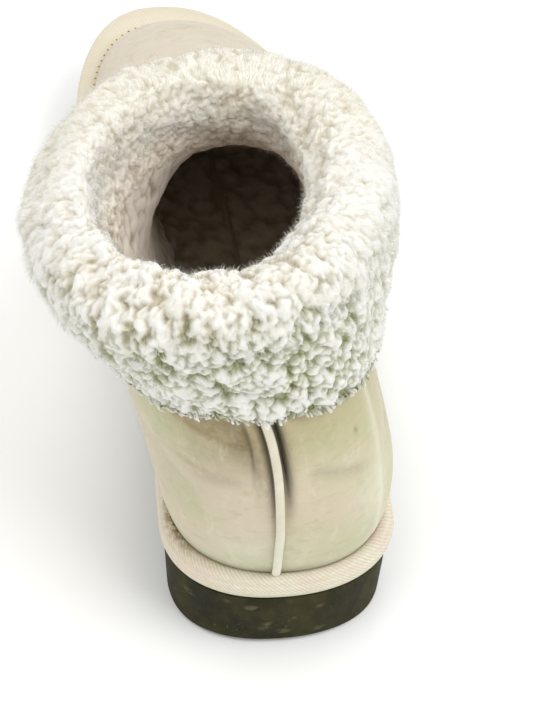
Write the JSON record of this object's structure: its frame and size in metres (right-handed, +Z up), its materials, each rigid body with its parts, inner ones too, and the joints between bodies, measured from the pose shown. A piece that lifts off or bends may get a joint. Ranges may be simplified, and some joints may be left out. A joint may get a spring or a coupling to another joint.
{
  "type": "fleece-cuffed slipper boot",
  "caption": "Short right slipper boot in pale suede with a turned-down fleece cuff, a stitched band round its foot and a flat dark foam sole.",
  "frame": {"origin": "middle of the shoe's bounding box, at floor level", "axes": "-Y towards the toe, +Z up, -X towards the wearer's right (the outer side of the foot)"},
  "size_m": [0.1168, 0.2796, 0.1463],
  "materials": {
    "outsole_foam": "matt dark foam rubber",
    "band_suede": "pale cream suede, stitched",
    "upper_suede": "pale sand suede, napped and mottled",
    "fleece": "cream sheepskin pile"
  },
  "bodies": {
    "root": {"outsole": "outsole_foam", "welt_band": "band_suede", "upper": "upper_suede", "insole": "fleece", "heel_piping": "band_suede", "cuff": "fleece"}
  },
  "joints": []
}
